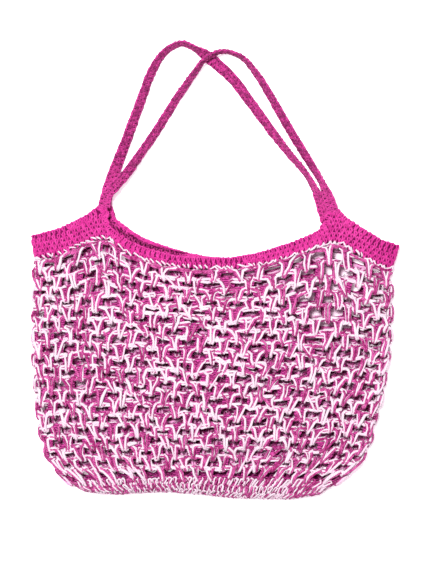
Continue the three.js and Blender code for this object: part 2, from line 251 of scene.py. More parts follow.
def yarn_tree():
    tree = bpy.data.node_groups.new("yarn", "GeometryNodeTree")
    face = tree.interface
    face.new_socket("Lines", in_out="INPUT", socket_type="NodeSocketGeometry")
    for name, kind in (("Radius", "Float"), ("Sides", "Int"), ("Finish", "Material")):
        face.new_socket(name, in_out="INPUT", socket_type=f"NodeSocket{kind}")
    face.new_socket("Yarn", in_out="OUTPUT", socket_type="NodeSocketGeometry")

    def add(kind, settings, **sockets):
        node = tree.nodes.new(kind)
        for name, value in settings.items():
            setattr(node, name, value)
        for name, value in sockets.items():
            socket = node.inputs[name.replace("_", " ")]
            if isinstance(value, bpy.types.NodeSocket):
                tree.links.new(value, socket)
            else:
                socket.default_value = value
        return node.outputs

    given = add("NodeGroupInput", {})
    lines = add("GeometryNodeMeshToCurve", {}, Mesh=given["Lines"])["Curve"]
    along = add("GeometryNodeSplineParameter", {})
    kept = add("GeometryNodeStoreNamedAttribute", {"data_type": "FLOAT", "domain": "POINT"},
               Geometry=lines, Name="along", Value=along["Length"])["Geometry"]
    ring = add("GeometryNodeCurvePrimitiveCircle", {"mode": "RADIUS"},
               Resolution=given["Sides"], Radius=given["Radius"])["Curve"]
    turn = add("ShaderNodeMath", {"operation": "MULTIPLY"})
    tree.links.new(add("GeometryNodeSplineParameter", {})["Factor"], turn[0].node.inputs[0])
    turn[0].node.inputs[1].default_value = 2 * math.pi
    cosine = add("ShaderNodeMath", {"operation": "COSINE"})[0]
    sine = add("ShaderNodeMath", {"operation": "SINE"})[0]
    tree.links.new(turn[0], cosine.node.inputs[0])
    tree.links.new(turn[0], sine.node.inputs[0])
    round_it = add("ShaderNodeCombineXYZ", {}, X=cosine, Y=sine)["Vector"]
    profile = add("GeometryNodeStoreNamedAttribute", {"data_type": "FLOAT_VECTOR", "domain": "POINT"},
                  Geometry=ring, Name="round", Value=round_it)["Geometry"]
    thick = add("GeometryNodeInputNamedAttribute", {"data_type": "FLOAT"}, Name="thick")["Attribute"]
    tube = add("GeometryNodeCurveToMesh", {},
               Curve=kept, Profile_Curve=profile, Scale=thick, Fill_Caps=True)["Mesh"]
    soft = add("GeometryNodeSetShadeSmooth", {}, Geometry=tube, Shade_Smooth=True)["Geometry"]
    real = add("GeometryNodeRealizeInstances", {}, Geometry=soft)["Geometry"]
    done = add("GeometryNodeSetMaterial", {}, Geometry=real, Material=given["Finish"])["Geometry"]
    add("NodeGroupOutput", {}, Yarn=done)
    return tree


YARN_TREE = yarn_tree()
print("yarn tree has", len(YARN_TREE.nodes), "nodes")

# %% [markdown]
# A line goes in as a mesh of points and edges. Each point carries a shade, from about 0 to 1 and one
# value for a stitch, so that no two stitches are quite one colour; at the straps' ends and the band's folds
# it also carries painted light and painted shade. It also carries its thickness, because yarn swells where
# it is slack and thins where a loop is pulled tight.

# %% From lines to yarn
SOCKETS = {item.name: item.identifier for item in YARN_TREE.interface.items_tree if item.in_out == "INPUT"}
MADE = {}  # triangles of each piece
CHANCE = np.random.default_rng(7)
UNEVEN = 0.3  # how much the yarn's thickness varies from point to point
EVENED = (0.25, 0.5, 0.25)  # shares of a point and its two neighbours in its thickness
THINNEST, THICKEST = 0.65, 1.4
SHOWN_SIDES, HIDDEN_SIDES = 5, 4  # sides of a strand that shows well, and of one that doesn't


def triangles(mesh):
    return sum(len(face.vertices) - 2 for face in mesh.polygons)


def run_along(points):
    """How far along a line each of its points lies."""
    return np.concatenate([[0], np.cumsum(np.linalg.norm(np.diff(points, axis=0), axis=1))])


def spin(name, lines, radius, sides, finish):
    """Yarn along lines, each with its points in mm, shades and thickness. It rests on the floor."""
    points, shades, thick = (np.concatenate(column) for column in zip(*lines))
    swell = np.convolve(CHANCE.normal(0, UNEVEN, len(points)), EVENED, "same")
    thick = thick * np.clip(1 + swell, THINNEST, THICKEST)
    points = points * MM
    points[:, 2] = np.maximum(points[:, 2], radius * thick * MM)
    starts = np.cumsum([0] + [len(line[0]) for line in lines])
    edges = np.concatenate([np.stack([np.arange(a, b - 1), np.arange(a + 1, b)], 1)
                            for a, b in zip(starts[:-1], starts[1:])])
    mesh = bpy.data.meshes.new(name)
    mesh.from_pydata(points.tolist(), edges.tolist(), [])
    for attribute, values in (("shade", shades), ("thick", thick)):
        mesh.attributes.new(attribute, "FLOAT", "POINT").data.foreach_set("value", values.astype(np.float32))
    piece = put_in_scene(name, mesh)
    spun = piece.modifiers.new("yarn", "NODES")
    spun.node_group = YARN_TREE
    spun[SOCKETS["Radius"]] = radius * MM
    spun[SOCKETS["Sides"]] = sides
    spun[SOCKETS["Finish"]] = finish
    ready = bpy.context.evaluated_depsgraph_get()
    plain = bpy.data.meshes.new_from_object(
        piece.evaluated_get(ready), preserve_all_data_layers=True, depsgraph=ready)
    piece.modifiers.clear()
    piece.data = plain
    plain.name = name
    MADE[name] = triangles(plain)
    length = sum(run_along(line[0])[-1] for line in lines) * MM
    print(name, "has", round(length, 1), "m of yarn and", MADE[name], "triangles")
    return piece


# %% [markdown]
# ## Finishes
# Spun yarn is three plies twisted together. Each ply is a soft ridge, and the valley between two is painted
# darker, as painted shade; fine fibres streak both. The helix comes from the two numbers that the tree
# stored. Sums are written with a small class that wraps a socket, so that the shader reads like the
# arithmetic that it does.

# %% Shader arithmetic


class Wire:
    """One output of a shader node."""

    def __init__(self, tree, socket=None):
        self.tree = tree
        self.socket = socket

    def feed(self, node, sockets):
        """Link or set a node's inputs, by name or number."""
        for name, value in sockets.items():
            if isinstance(value, Wire):
                self.tree.links.new(value.socket, node.inputs[name])
            else:
                node.inputs[name].default_value = value

    def node(self, kind, settings, sockets, outlet=0):
        made = self.tree.nodes.new(kind)
        for name, value in settings.items():
            setattr(made, name, value)
        self.feed(made, sockets)
        return Wire(self.tree, made.outputs[outlet])

    def outlet(self, number):
        """Another output of the same node."""
        return Wire(self.tree, self.socket.node.outputs[number])

    def maths(self, operation, first, second):
        return self.node("ShaderNodeMath", {"operation": operation}, {0: first, 1: second})

    def __add__(self, other):
        return self.maths("ADD", self, other)

    def __sub__(self, other):
        return self.maths("SUBTRACT", self, other)

    def __rsub__(self, other):
        return self.maths("SUBTRACT", other, self)

    def __mul__(self, other):
        return self.maths("MULTIPLY", self, other)

    __radd__ = __add__
    __rmul__ = __mul__

    def blend(self, low, high):
        """A colour from low to high by this value. A Mix node's colours are inputs 6 and 7 and outlet 2."""
        settings = {"data_type": "RGBA", "clamp_factor": True}
        return self.node("ShaderNodeMix", settings, {0: self, 6: low, 7: high}, 2)

    def noise(self, scale, detail):
        """Soft noise from 0 to 1 at this place."""
        return self.node("ShaderNodeTexNoise", {}, {"Vector": self, "Scale": scale, "Detail": detail}, "Fac")

    def bump(self, strength, height):
        """The normal of a surface that this value raises, by height in mm where it is 1."""
        sockets = {"Strength": strength, "Distance": height * MM, "Height": self}
        return self.node("ShaderNodeBump", {}, sockets)


# %% [markdown]
# A finish has three colours: a light and a deeper tone of the yarn, and the valley's painted shade. Colours
# are given as on a screen and turned linear. Soft fibres on the outside catch light at a slant, which is
# what sheen is for. The light inside the bag has bounced off magenta many times, so the net's pale yarn
# is painted pink there by place, as painted bounce light.

# %% Yarn finish
PLIES = 3
TWIST = 9.0  # mm in which a ply goes once round
FIBRE_SCALE, FIBRE_DETAIL = 1500.0, 2.0  # streaks to the metre
MOTTLE_SCALE, MOTTLE_DETAIL = 260.0, 1.0  # patches to the metre
# parts of the tone, from deep to light: the stitch's shade, patches, fibres, and what is always there
BY_SHADE, BY_MOTTLE, BY_FIBRE, TONE_FROM = 0.6, 3.2, 1.6, 0.2
VALLEY_SHADE_SHARE = 0.65  # share of the valley's painted shade where it is deepest
PLY_HEIGHT, PLY_BUMP = 0.35, 0.7  # mm, and how strongly it shades
FIBRE_HEIGHT = 0.35  # against the height of a ply
YARN_ROUGH, FIBRE_ROUGH = 0.82, 0.12  # roughness, and how much the fibres add
SHEEN, SHEEN_ROUGH, YARN_SHINE = 0.2, 0.45, 0.25
EXPOSED = 0.62  # the picture is exposed until the floor is white, so its colours have too much light
# where the net's pale yarn is painted pink with bounce light: axis, from and to in mm, and the step at each
PAINTED_BOUNCE_ZONE = ((0, -186.0, 172.0, 12.0), (2, 4.0, 15.0, 3.0))


def linear(*screen):
    """A colour as on a screen, from 0 to 255, as the light that it stands for."""
    light = [v / 255 / 12.92 if v < 10 else ((v / 255 + 0.055) / 1.055) ** 2.4 for v in screen]
    return tuple(EXPOSED * v for v in light) + (1.0,)


def new_finish(name):
    """A new material, its Principled node as the skin, and a wire to start its sums from."""
    finish = bpy.data.materials.new(name)
    finish.use_nodes = True
    skin = next(n for n in finish.node_tree.nodes if n.type == "BSDF_PRINCIPLED")
    return finish, skin, Wire(finish.node_tree)


def within(start, place, limits):
    """1 well inside the limits, 0 outside them."""
    parts = start.node("ShaderNodeSeparateXYZ", {}, {0: place})
    shares = []
    for axis, low, high, step in limits:
        at = parts.outlet(axis) * (1 / (step * MM))
        shares.append(start.maths("MINIMUM", at - low / step, high / step - at))
    return start.maths("MINIMUM", *shares)


def yarn_finish(name, light, deep, valley_shade, sheen, inside=None):
    finish, skin, start = new_finish(name)
    along = start.node("ShaderNodeAttribute", {"attribute_name": "along"}, {}, "Fac")
    shade = start.node("ShaderNodeAttribute", {"attribute_name": "shade"}, {}, "Fac")
    turned = start.node("ShaderNodeAttribute", {"attribute_name": "round"}, {}, "Vector")
    parts = start.node("ShaderNodeSeparateXYZ", {}, {0: turned})
    angle = start.maths("ARCTAN2", parts.outlet(1), parts)
    wave = start.maths("COSINE", angle * PLIES + along * (2 * math.pi * PLIES / (TWIST * MM)), 0.0)
    ply = wave * 0.5 + 0.5
    place = start.node("ShaderNodeTexCoord", {}, {}, "Object")
    fibre = place.noise(FIBRE_SCALE, FIBRE_DETAIL)
    mottle = place.noise(MOTTLE_SCALE, MOTTLE_DETAIL)
    tone = shade * BY_SHADE + (mottle - 0.5) * BY_MOTTLE + (fibre - 0.5) * BY_FIBRE + TONE_FROM
    colour = tone.blend(linear(*deep), linear(*light))
    hollow = (1 - ply) * (1 - ply)
    # painted shade: the valley between plies is darkened towards the valley colour
    colour = (hollow * VALLEY_SHADE_SHARE).blend(colour, linear(*valley_shade))
    # painted bounce light: yarn inside the bag is tinted pink by place
    if inside:
        colour = within(start, place, PAINTED_BOUNCE_ZONE).blend(colour, linear(*inside))
    start.feed(skin, {
        "Base Color": colour,
        "Roughness": fibre * FIBRE_ROUGH + YARN_ROUGH,
        "Normal": (ply + fibre * FIBRE_HEIGHT).bump(PLY_BUMP, PLY_HEIGHT),
        "Sheen Weight": SHEEN,
        "Sheen Roughness": SHEEN_ROUGH,
        "Sheen Tint": linear(*sheen),
        "Specular IOR Level": YARN_SHINE,
    })
    return finish


# each finish: light tone, deep tone, the valley's painted shade, and the sheen's tint
MAGENTA = yarn_finish("magenta_yarn", (230, 104, 179), (167, 23, 110), (102, 3, 66), (255, 170, 220))
PALE_COLOURS = ((248, 235, 243), (244, 215, 232), (216, 158, 194), (255, 250, 255))
PALE = yarn_finish("pale_yarn", *PALE_COLOURS)
# the net's pale yarn, with painted pink bounce light inside the bag
PALE_WITH_BOUNCE = yarn_finish("net_pale_yarn_painted_bounce", *PALE_COLOURS, (250, 165, 220))
BAND = yarn_finish("band_yarn", (241, 66, 171), (214, 37, 145), (140, 8, 92), (255, 160, 215))
# the straps are the band's yarn painted darker: painted shade for straps that lean away from the lamp
STRAP_SHADED = yarn_finish("strap_yarn_painted_shade", (222, 60, 156), (150, 24, 103), (98, 5, 63), (255, 160, 215))
print("finishes", [m.name for m in (MAGENTA, PALE, PALE_WITH_BOUNCE, BAND, STRAP_SHADED)])

# %% [markdown]
# ## Laying a stitch
# A stitch is a short list of places that the yarn passes: how far across, how far up, and how far in
# front of or behind the cloth. The whole row is one line through all its stitches, so its yarn never
# ends inside it. Where two yarns are held together, they run side by side along that line, and change
# sides as the maker's fingers let them.

# %% Rows of yarn
PROBE = 0.5  # mm to either side of a place, to find which way is out of the cloth
TINY = 1e-9  # keeps a division from failing


def bent(t, here, there, pull_in, pull_out):
    """Points at shares t of a bend from here to there, with the pull at each end."""
    return ((2 * t**3 - 3 * t**2 + 1) * here + (t**3 - 2 * t**2 + t) * pull_in
            + (3 * t**2 - 2 * t**3) * there + (t**3 - t**2) * pull_out)


def curve_through(places, steps, closed):
    """Points of a smooth curve through places, one to a row, with some steps from each to the next."""
    count = len(places)
    index = np.arange(count if closed else count - 1)
    pick = (lambda i: places[i % count]) if closed else (lambda i: places[np.clip(i, 0, count - 1)])
    before, here, there, after = pick(index - 1), pick(index), pick(index + 1), pick(index + 2)
    made = []
    for i, step in zip(index, steps):
        t = (np.arange(step) / step)[:, None]
        pull_in, pull_out = (there[i] - before[i]) / 2, (after[i] - here[i]) / 2
        made.append(bent(t, here[i], there[i], pull_in, pull_out))
    made.append(here[:1] if closed else there[-1:])
    return np.concatenate(made)


def unit(vectors):
    return vectors / np.maximum(np.linalg.norm(vectors, axis=-1, keepdims=True), TINY)


def lay(surface, places, steps, closed=False):
    """Middle of the yarn along places (around, up, out, and more), the ways it can split, and the more."""
    around, up, out = places[:, 0], places[:, 1], places[:, 2]
    middle = surface(around, up, out)
    outward = unit(surface(around, up, out + PROBE) - surface(around, up, out - PROBE))
    path = curve_through(np.concatenate([middle, outward, places[:, 3:]], axis=1), steps, closed)
    line, normal, more = path[:, :3], path[:, 3:6], path[:, 6:]
    way = unit(np.gradient(line, axis=0))
    beside = unit(np.cross(normal, way))
    above = np.cross(way, beside)
    return line, beside, above, more.T


def two_strands(line, beside, above, turn, apart):
    """Two yarns held together. At a turn of 0 the first lies to the left of the way, at a quarter above."""
    lean = (apart * np.cos(turn))[:, None] * beside + (apart * np.sin(turn))[:, None] * above
    return line + lean, line - lean


print("3 places, 4 steps apart, make a line of", len(curve_through(np.eye(3), (4, 4), False)), "points")

# %% [markdown]
# ## The net
# Each cell of the net is one tall stitch and two chains. The tall stitch is worked over the chain below
# it, halfway along, so its loop shows as a V that goes round that chain and opens at the top. The chains
# carry the yarn to the next. Both are tables of places, in cells and rounds.

# %% The net's stitches
COLUMNS, ROWS = 34, 20  # cells round the bag, and rounds
# across in cells, up in rounds, out in mm, steps to the next
TALL_STITCH = (
    (-0.10, 0.90, -1.4, 1),
    (-0.06, 0.10, -2.0, 1),
    (-0.05, -0.32, -0.8, 2),
    (-0.055, -0.16, 2.0, 1),
    (-0.085, 0.35, 2.7, 1),
    (-0.13, 0.84, 2.4, 1),
    (-0.24, 1.04, 1.5, 1),
    (-0.30, 1.05, -0.6, 1),
    (-0.06, 1.00, -1.8, 1),
    (0.06, 1.00, -1.8, 1),
    (0.30, 1.05, -0.6, 1),
    (0.24, 1.04, 1.5, 1),
    (0.125, 0.84, 2.4, 1),
    (0.08, 0.35, 2.7, 1),
    (0.05, -0.16, 2.0, 2),
    (0.045, -0.32, -0.8, 1),
    (0.07, 0.2, -2.0, 1),
    (0.11, 0.8, -1.4, 1),
)
# along in chains, up in rounds, out in mm, steps to the next
CHAIN = (
    (0.05, 0.05, 0.2, 1),
    (0.45, 0.10, 1.6, 1),
    (1.05, 0.11, 1.1, 2),
    (1.22, 0.0, -0.2, 2),
    (1.05, -0.11, 1.1, 1),
    (0.45, -0.10, 1.6, 1),
    (0.05, -0.03, -0.6, 1),
    (0.50, 0.0, -1.8, 1),
)
CHAINS = 2  # from one tall stitch to the next
CHAIN_START, CHAIN_LONG, CHAIN_UP = 0.12, 0.38, 0.96  # cells from the tall stitch, cells, rounds
print("places in a round", COLUMNS * (len(TALL_STITCH) + CHAINS * len(CHAIN)))

# %% [markdown]
# Hand work is never even. The net is drawn open more in some places than in others, its two walls don't
# lie stitch on stitch, and its columns and rounds wander a little. Tables say where, and functions read
# them at any place.

# %% How the net lies
ROUND_EASE = 0.08  # rounds are this much lower than the mean by the base, and as much higher by the band
TOP_ROUND = ROWS + 0.15  # rounds that would reach the band's edge
BACK_SHIFT = 0.5  # rounds by which the back lies higher than the front, away from the folds
SHIFT_EASE = (50.0, 40.0)  # it grows from nothing within a share of 1 in this from a fold, and from an edge
OPEN_MEAN, OPEN_MOST = 0.72, 1.3  # how far the net is drawn open on the whole, and at most
# where it is drawn more or less: around and level of the middle, reach of each, how much on front and back
OPENED = (
    (0.395, 0.85, 0.055, 0.19, 0.45, 0.45),
    (0.235, 0.76, 0.1, 0.26, -0.4, -0.4),
    (0.47, 0.14, 0.05, 0.12, 0.2, 0.2),
    (0.06, 0.85, 0.06, 0.15, 0.2, 0.2),
    (0.25, 0.05, 0.3, 0.06, 0.4, -0.4),
    (0.45, 0.62, 0.08, 0.4, 0.7, -0.5),
)
# where the two walls' gaps meet and the floor shows: around and level of the middle, and reach of each
MATCHED = (
    (0.395, 0.84, 0.045, 0.17),
    (0.117, 0.62, 0.016, 0.05),
    (0.47, 0.54, 0.012, 0.03),
    (0.062, 0.41, 0.014, 0.03),
)
# how it wanders: waves from fold to fold, waves from base to band, phase, cells across, rounds up
WANDER = (
    (5.3, 2.5, 0.3, 0.07, 0.07),
    (8.7, -3.0, 1.7, 0.06, 0.06),
    (3.6, 7.0, 4.1, 0.02, 0.06),
    (11.4, 4.0, 2.6, 0.03, 0.04),
)
WANDER_EASE = 7.0  # it grows from nothing within a share of 1 in this from a fold or an edge


def round_level(number):
    """How far up the net a round lies, from 0 at the base to 1 at the band."""
    share = number / TOP_ROUND
    return share - ROUND_EASE * np.sin(math.pi * share) / math.pi


def openness(around, level):
    """How far the net is drawn open, from 0 where it is slack."""
    across = np.abs(np.mod(around + 0.5, 1) - 0.5)
    on_back = np.mod(around, 1) > 0.5
    drawn = sum(np.where(on_back, back, front) * mound(across, level, *place)
                for *place, front, back in OPENED)
    return np.clip(OPEN_MEAN + drawn, 0, OPEN_MOST)


def from_ends(share, ease):
    """0 at a share of 0 or 1, and 1 further in."""
    return np.clip(ease * np.minimum(share, 1 - share), 0, 1)


def back_shift(around, level):
    """Rounds by which the back is moved up, so that the walls don't lie stitch on stitch."""
    place = np.mod(around, 1)
    from_fold = np.clip(SHIFT_EASE[0] * np.minimum(place - 0.5, 1 - place), 0, 1)
    met = sum(mound(1 - place, level, *match) for match in MATCHED)
    return BACK_SHIFT * from_fold * from_ends(level, SHIFT_EASE[1]) * (1 - np.minimum(met, 1))


def settle(around, row):
    """Where a place in the pattern comes to lie, with the hand's unevenness. Both walls wander alike."""
    side, share = side_and_share(around)
    level = row / ROWS
    waves = [np.sin(2 * math.pi * (k * share + u * level) + phase) for k, u, phase, _, _ in WANDER]
    across = sum(wave * line[3] for wave, line in zip(waves, WANDER)) / COLUMNS
    up = sum(wave * line[4] for wave, line in zip(waves, WANDER))
    across = across * from_ends(share, WANDER_EASE)
    up = up * from_ends(level, WANDER_EASE)
    return around + side * across, round_level(row + up + back_shift(around, level))


print("drawn open in the middle of the front", openness(0.25, 0.5).round(2))

# %% [markdown]
# A round is one closed line of places, laid on the net's surface and split into its yarns. One pale and
# two magenta yarns run together, and whichever lies on top shows. On the back one magenta is enough. The
# last round is worked over by the band, so there the magenta lies on top. Chance moves each stitch a
# little.

# %% Rounds of the net
STRAND = {"pale": 1.32, "magenta": 1.28, "under": 1.3}  # radius of one yarn, mm
POST_THICK, CHAIN_THICK = 1.08, 1.1  # how much thicker the pale yarn is in a tall stitch and in a chain
APART = 1.2  # from the middle of the yarns to each, mm
UNDER = 0.9  # the second magenta yarn lies this much deeper, mm
QUARTER = math.pi / 2
# how far a tall stitch strays across in cells and up in rounds, how it leans, and how its width varies
POST_STRAY, POST_LIFT, POST_LEAN, POST_WIDE = 0.04, 0.06, 0.05, 0.16
# in radians, how far its yarns stray from side by side, and turn from place to place, steadily and at random
SIDES_STRAY, POST_TWIST, POST_TURN = 0.5, 0.4, 0.2
CHAIN_TOP = (0.3, 0.9)  # mean and spread of a chain's turn, radians
LAST_TOP = (-QUARTER, 0.5)  # the same in the last round
# how a chain strays up and tilts in rounds, and how its width and its yarns' turn vary
CHAIN_SAG, CHAIN_TILT, CHAIN_PLUMP, CHAIN_TURN = 0.06, 0.12, 0.2, 0.4
TILT_ABOUT = 0.6  # where along a chain its tilt is nothing
FLATTER, CLOSER = 0.75, 0.4  # a chain that is drawn open is this much flatter, and its yarns closer together
PLACE_STRAY = (0.022, 0.045, 0.35)  # of every place, in cells, rounds and mm


def net_round(row):
    """Places of one round of the net, all the way round, with the steps between them."""
    rows, steps = [], []
    for cell in range(COLUMNS):
        post = cell + 0.5 * (row % 2) + CHANCE.normal(0, POST_STRAY)
        lift = CHANCE.normal(0, POST_LIFT)
        lean = CHANCE.normal(0, POST_LEAN)
        wide = CHANCE.normal(1, POST_WIDE)
        drawn = openness(post / COLUMNS, round_level(row + 0.5))
        sides = QUARTER * CHANCE.choice([0, 2]) + CHANCE.normal(0, SIDES_STRAY)
        shade = CHANCE.random()
        twist = CHANCE.normal(0, POST_TWIST)
        for across, up, out, step in TALL_STITCH:
            sides += twist + CHANCE.normal(0, POST_TURN)
            place = (post + across * wide + lean * up, row + up + lift, out)
            rows.append((*place, sides, shade, APART, POST_THICK))
            steps.append(step)
        for chain in range(CHAINS):
            top = CHANCE.normal(*CHAIN_TOP)
            if row == ROWS - 1:
                top = CHANCE.normal(*LAST_TOP)
            shade = CHANCE.random()
            sag = lift + CHANCE.normal(0, CHAIN_SAG)
            tilt = CHANCE.normal(0, CHAIN_TILT)
            plump = CHANCE.normal(1, CHAIN_PLUMP)
            start = post + CHAIN_START + CHAIN_LONG * chain + lean
            for along, up, out, step in CHAIN:
                rise = CHAIN_UP + up * plump * (1 - FLATTER * drawn) + sag + tilt * (along - TILT_ABOUT)
                turn = top + CHANCE.normal(0, CHAIN_TURN)
                place = (start + along * CHAIN_LONG, row + rise, out)
                rows.append((*place, turn, shade, APART * (1 - CLOSER * drawn), CHAIN_THICK))
                steps.append(step)
    rows = np.array(rows)
    rows[:, :3] += CHANCE.normal(0, 1, (len(rows), 3)) * PLACE_STRAY
    rows[:, 3] = np.unwrap(rows[:, 3])
    rows[:, 0] /= COLUMNS
    rows[:, 0], rows[:, 1] = settle(rows[:, 0], rows[:, 1])
    return rows, steps


def net_lines():
    """Lines of each yarn: pale and magenta on both walls, and the second magenta one on the front."""
    lines = {(side, yarn): [] for side in ("front", "back") for yarn in STRAND}
    del lines["back", "under"]
    for row in range(ROWS):
        rows, steps = net_round(row)
        line, beside, above, (turn, shade, apart, thick) = lay(net_surface, rows, steps, closed=True)
        half = sum(steps) // 2
        pale, magenta = two_strands(line, beside, above, turn, apart)
        under = line - UNDER * above
        for yarn, strand in zip(STRAND, (pale, magenta, under)):
            drawn = thick if yarn == "pale" else np.ones(len(thick))
            lines["front", yarn].append((strand[: half + 1], shade[: half + 1], drawn[: half + 1]))
            if ("back", yarn) in lines:
                lines["back", yarn].append((strand[half:], shade[half:], drawn[half:]))
    return lines


NET = [
    spin(f"net_{side}_{yarn}", lines, STRAND[yarn],
         SHOWN_SIDES if side == "front" and yarn != "under" else HIDDEN_SIDES,
         PALE_WITH_BOUNCE if yarn == "pale" else MAGENTA)
    for (side, yarn), lines in net_lines().items()
]

# %% [markdown]
# ## The net's ground
# Inside each bundle of strands there is more yarn than the eye can follow. A thin net of the same cells
# lies in the middle of the cloth and stands for it. It is also the sheet that the net is declared as. Its
# dark magenta is partly that yarn's colour and partly painted shade, for the shade between strands.

# %% Ground of the net
GROUND = 0.9  # half the thickness of a ground, mm
STRAND_SCALE = 125.0  # makes the strands drawn on a ground about 2.5 mm wide
STRAND_WAVE = {"Distortion": 6.0, "Detail": 1.0, "Detail Scale": 2.5}
STRAND_HEIGHT, STRAND_BUMP = 0.8, 0.8  # mm, and how strongly it shades
GROUND_SCALE, GROUND_DETAIL = FIBRE_SCALE / 3, 3.0  # its fibres
BY_STRAND = 1.1  # the strands' part of the tone
GROUND_FIBRE_HEIGHT = 0.4  # against the height of a strand
GROUND_ROUGH, GROUND_SHINE = 0.95, 0.1


def plain_mesh(name, points, faces, finish):
    mesh = bpy.data.meshes.new(name)
    mesh.from_pydata((np.asarray(points) * MM).tolist(), [], faces)
    mesh.materials.append(finish)
    mesh.validate()
    mesh.shade_smooth()
    MADE[name] = triangles(mesh)
    print(name, "has", MADE[name], "triangles")
    return put_in_scene(name, mesh)


def painted_shade_ground_finish(name, deep, light):
    finish, skin, start = new_finish(name)
    place = start.node("ShaderNodeTexCoord", {}, {}, "Object")
    fibre = place.noise(GROUND_SCALE, GROUND_DETAIL)
    wave = {"Vector": place, "Scale": STRAND_SCALE, **STRAND_WAVE}
    strand = start.node("ShaderNodeTexWave", {"bands_direction": "Y"}, wave, "Fac")
    # strands drawn on the ground, dark between them as painted shade
    tone = (fibre - 0.5) * BY_FIBRE + strand * BY_STRAND
    start.feed(skin, {
        "Base Color": tone.blend(linear(*deep), linear(*light)),
        "Normal": (fibre * GROUND_FIBRE_HEIGHT + strand).bump(STRAND_BUMP, STRAND_HEIGHT),
        "Roughness": GROUND_ROUGH,
        "Specular IOR Level": GROUND_SHINE,
    })
    return finish


# grounds: the yarn's magenta, darkened as painted shade between the strands
STRAP_GROUND_PAINTED_SHADE = painted_shade_ground_finish("strap_ground_painted_shade", (64, 2, 40), (128, 10, 84))
BAND_GROUND_PAINTED_SHADE = painted_shade_ground_finish("band_ground", (78, 2, 50), (146, 16, 98))
NET_GROUND_PAINTED_SHADE = painted_shade_ground_finish("net_ground", (102, 4, 67), (208, 72, 156))
# the gap in a cell where the net is slack and where it is drawn open, in half cells and half rounds
SLACK_GAP = ((-0.4, -0.34), (0.0, -0.5), (0.4, -0.34), (0.36, 0.28), (0.0, 0.5), (-0.36, 0.28))
OPEN_GAP = ((-0.64, -0.66), (0.0, -0.78), (0.64, -0.66), (0.6, 0.56), (0.0, 0.78), (-0.6, 0.56))
GAP_UNEVEN, GAP_MOST = 0.07, 0.9  # how much its corners stray, and how far out they may lie
GAP_MIDDLE = 0.48  # of a round
CELL = ((-1, -1), (0, -1), (1, -1), (1, 1), (0, 1), (-1, 1))


def net_ground():
    places, faces, known = [], [], {}

    def corner(column, row, out):
        key = (round(column % (2 * COLUMNS), 4), round(row, 4), out)
        if key not in known:
            known[key] = len(places)
            around = column / (2 * COLUMNS)
            places.append((*settle(around, row), out))
        return known[key]

    def ring(column, row, shape):
        """Corners of a shape on the ground's outer face, and on its inner one."""
        return [[corner(column + a, row + u / 2, out) for a, u in shape] for out in (GROUND, -GROUND)]

    for row in range(ROWS):
        for cell in range(COLUMNS):
            middle = 2 * cell + row % 2 + 1
            outer = ring(middle, row + 0.5, CELL)
            drawn = openness(middle / (2 * COLUMNS), round_level(row + 0.5))
            gap = np.array(SLACK_GAP) * (1 - drawn) + np.array(OPEN_GAP) * drawn
            gap = np.clip(gap + CHANCE.normal(0, GAP_UNEVEN, gap.shape), -GAP_MOST, GAP_MOST)
            inner = ring(middle, row + GAP_MIDDLE, gap)
            for i in range(len(CELL)):
                j = (i + 1) % len(CELL)
                faces.append((outer[0][i], outer[0][j], inner[0][j], inner[0][i]))
                faces.append((outer[1][i], inner[1][i], inner[1][j], outer[1][j]))
                faces.append((inner[0][i], inner[0][j], inner[1][j], inner[1][i]))
    for column in range(2 * COLUMNS):
        low = [corner(column + step, 0, out) for out in (GROUND, -GROUND) for step in (0, 1)]
        high = [corner(column + step, ROWS, out) for out in (GROUND, -GROUND) for step in (0, 1)]
        faces.append((low[0], low[2], low[3], low[1]))
        faces.append((high[0], high[1], high[3], high[2]))
    places = np.array(places)
    return plain_mesh("net_ground", net_surface(*places.T), faces, NET_GROUND_PAINTED_SHADE)


NET_GROUND = net_ground()

# %% [markdown]
# ## Single crochet
# The base, the band and the handles are plain single crochet. One stitch is a small V with its head on
# top: the yarn comes up through the head below, goes over the top and down again, and runs on behind the
# cloth.

# %% The plain stitch
# along in stitches, up in rows, out in mm, steps to the next
PLAIN_STITCH = (
    (0.05, 0.90, -0.9, 1),
    (0.40, 0.15, -1.2, 1),
    (0.47, -0.12, -0.2, 2),
    (0.44, 0.10, 1.1, 1),
    (0.26, 0.80, 0.9, 2),
    (0.50, 1.16, 0.6, 2),
    (0.76, 0.80, 0.9, 1),
    (0.58, 0.10, 1.1, 2),
    (0.55, -0.12, -0.2, 1),
    (0.80, 0.50, -1.2, 1),
)
STITCH_WIDE, STITCH_HIGH = 5.5, 5.2  # mm, in the band
BAND_YARN = 1.05  # radius, mm
PLAIN_LIFT, PLAIN_OUT = 0.04, 0.1  # how far a stitch strays up, in rows, and its places out, in mm
EDGE_OUT = 0.4  # the line of heads along an edge lies this far out, mm
EDGE_UP_STRAY, EDGE_OUT_STRAY = 0.12, 0.2  # mm


def plain_row(first, last, wide, up, high, lean=0.0, sunk=0.0):
    """Places of plain stitches, from number first to last. wide and high turn stitches into places."""
    top = max(rise for _, rise, _, _ in PLAIN_STITCH)
    rows, steps = [], []
    for stitch in range(first, last):
        shade = CHANCE.random()
        lift = CHANCE.normal(0, PLAIN_LIFT)
        for along, rise, out, step in PLAIN_STITCH:
            rise = rise - sunk * (rise == top)
            rows.append(((stitch + along + lean * rise) * wide, up + (rise + lift) * high, out, 0.0, shade))
            steps.append(step)
    rows = np.array(rows)
    rows[:, 2] += CHANCE.normal(0, PLAIN_OUT, len(rows))
    return rows, steps


def runs(wanted):
    """First and past-the-last number of each unbroken run of wanted stitches."""
    edges = np.flatnonzero(np.diff(np.concatenate([[0], wanted.astype(int), [0]])))
    return list(zip(edges[::2], edges[1::2]))


